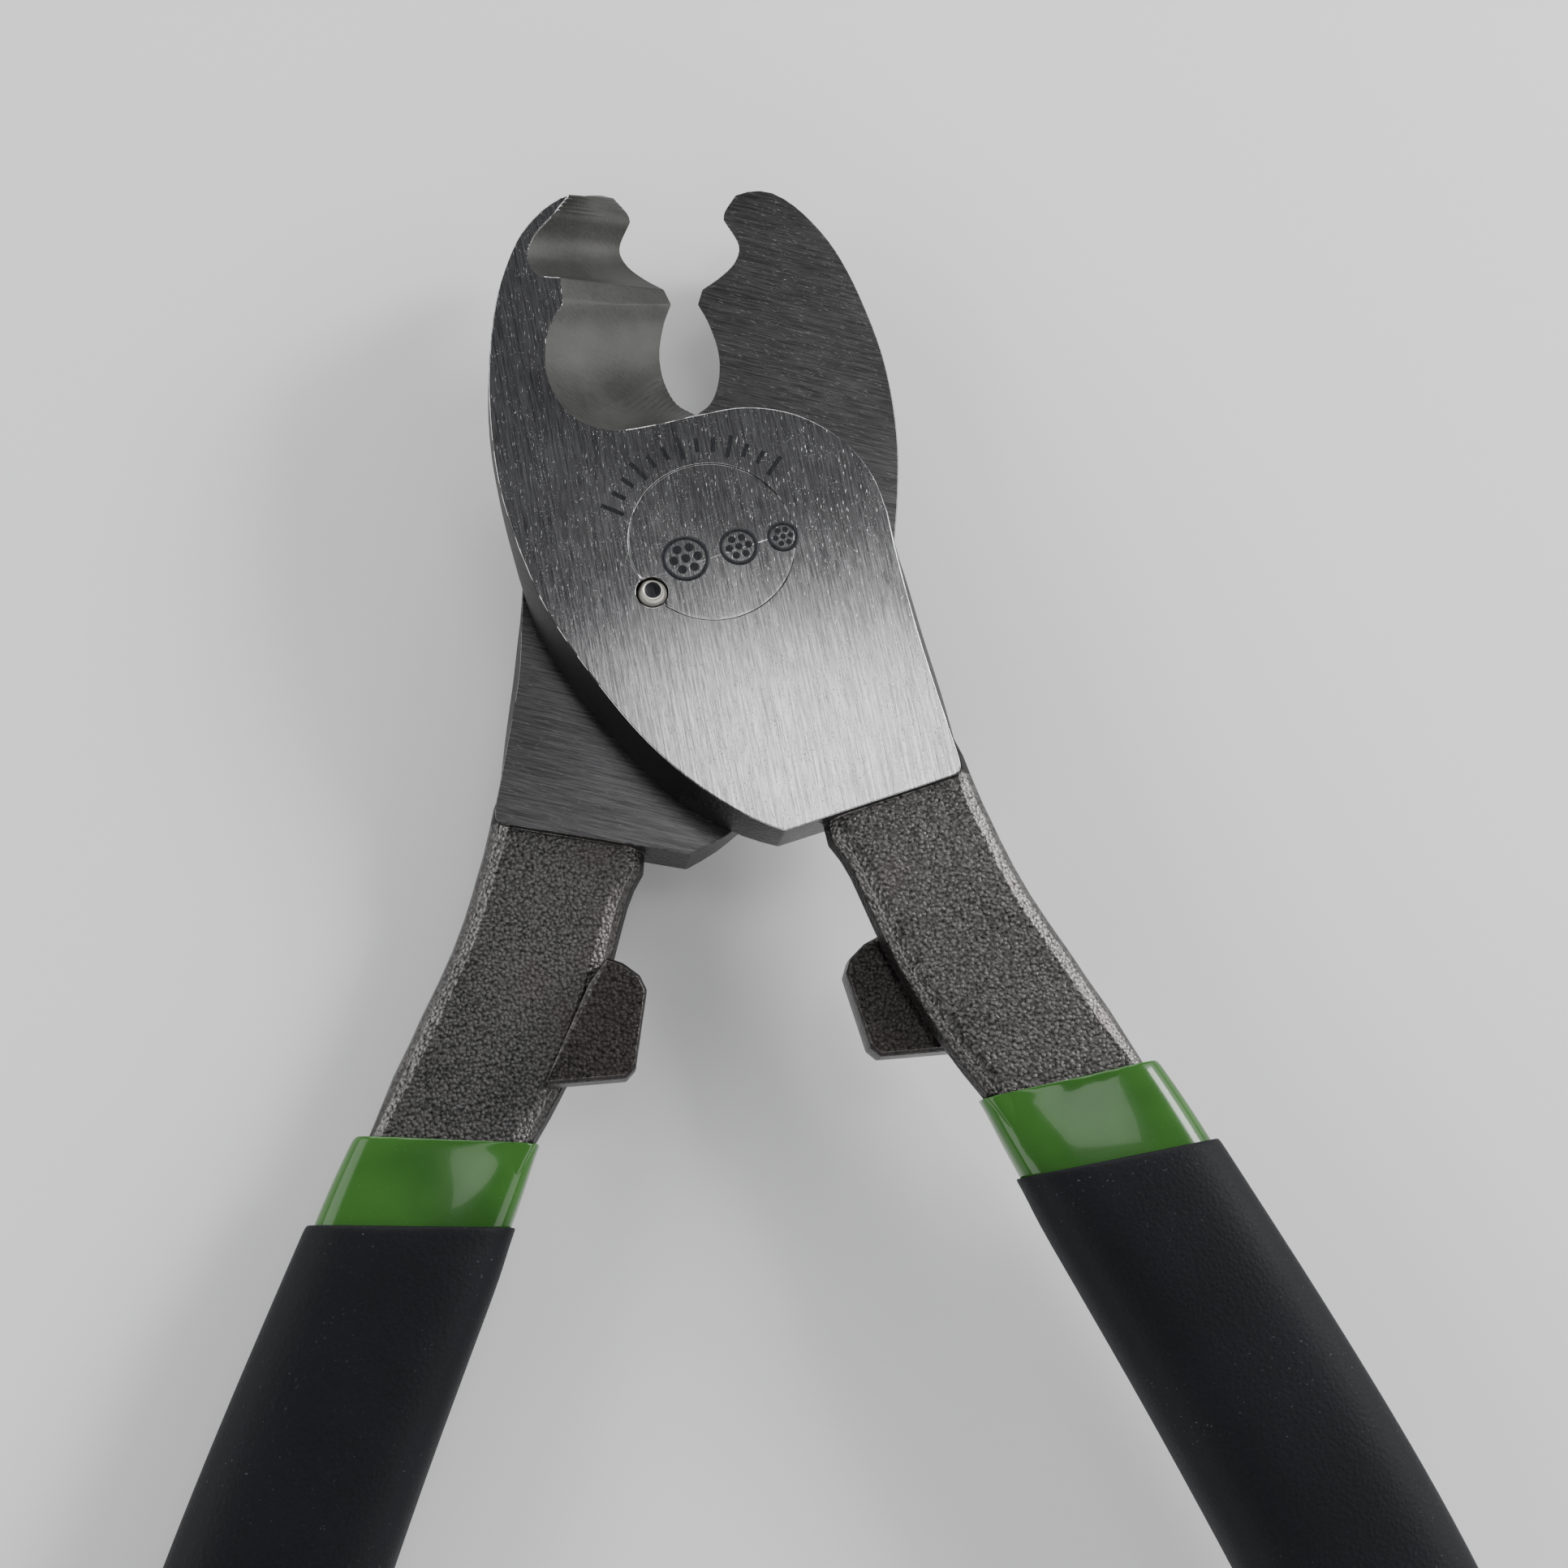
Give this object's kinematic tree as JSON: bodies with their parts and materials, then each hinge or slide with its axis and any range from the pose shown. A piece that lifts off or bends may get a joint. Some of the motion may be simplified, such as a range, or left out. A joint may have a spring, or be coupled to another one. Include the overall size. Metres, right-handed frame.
{
  "type": "hand cable cutters",
  "caption": "One-hand cable cutters: crossed forged levers with ground shear jaws holding a round throat and a tip notch, a flush pivot bolt and slim dipped handles.",
  "frame": {"origin": "centre of the pivot bolt's head, on the ground front face of the head", "axes": "+Z along the pivot axis out of the front face, +Y to the jaw tips along the line midway between the levers, +X to the side of the front lever's handle"},
  "size_m": [0.1728, 0.2244, 0.026],
  "materials": {
    "forged_steel": "dark forged steel, blasted on the arms and ground on the heads",
    "bolt_steel": "turned steel, ground flush with the head",
    "pin_steel": "bright ground steel",
    "spring_steel": "blued spring steel",
    "green_dip": "glossy dipped vinyl",
    "black_dip": "matte dipped vinyl with a fine grain"
  },
  "bodies": {
    "rear_half": {"rear_lever": "forged_steel", "rear_sleeve": "green_dip", "rear_grip": "black_dip"},
    "front_half": {"front_lever": "forged_steel", "pivot_bolt": "bolt_steel", "head_lock_pin": "pin_steel", "thrust_washer": "pin_steel", "disc_spring": "spring_steel", "pivot_nut": "bolt_steel", "front_sleeve": "green_dip", "front_grip": "black_dip"}
  },
  "joints": [
    {"name": "jaw_pivot", "type": "hinge", "parent": "rear_half", "child": "front_half", "pos_m": [0, 0, -0.0093], "axis": [0, 0, 1], "range_deg": [-24.8, 30]}
  ]
}
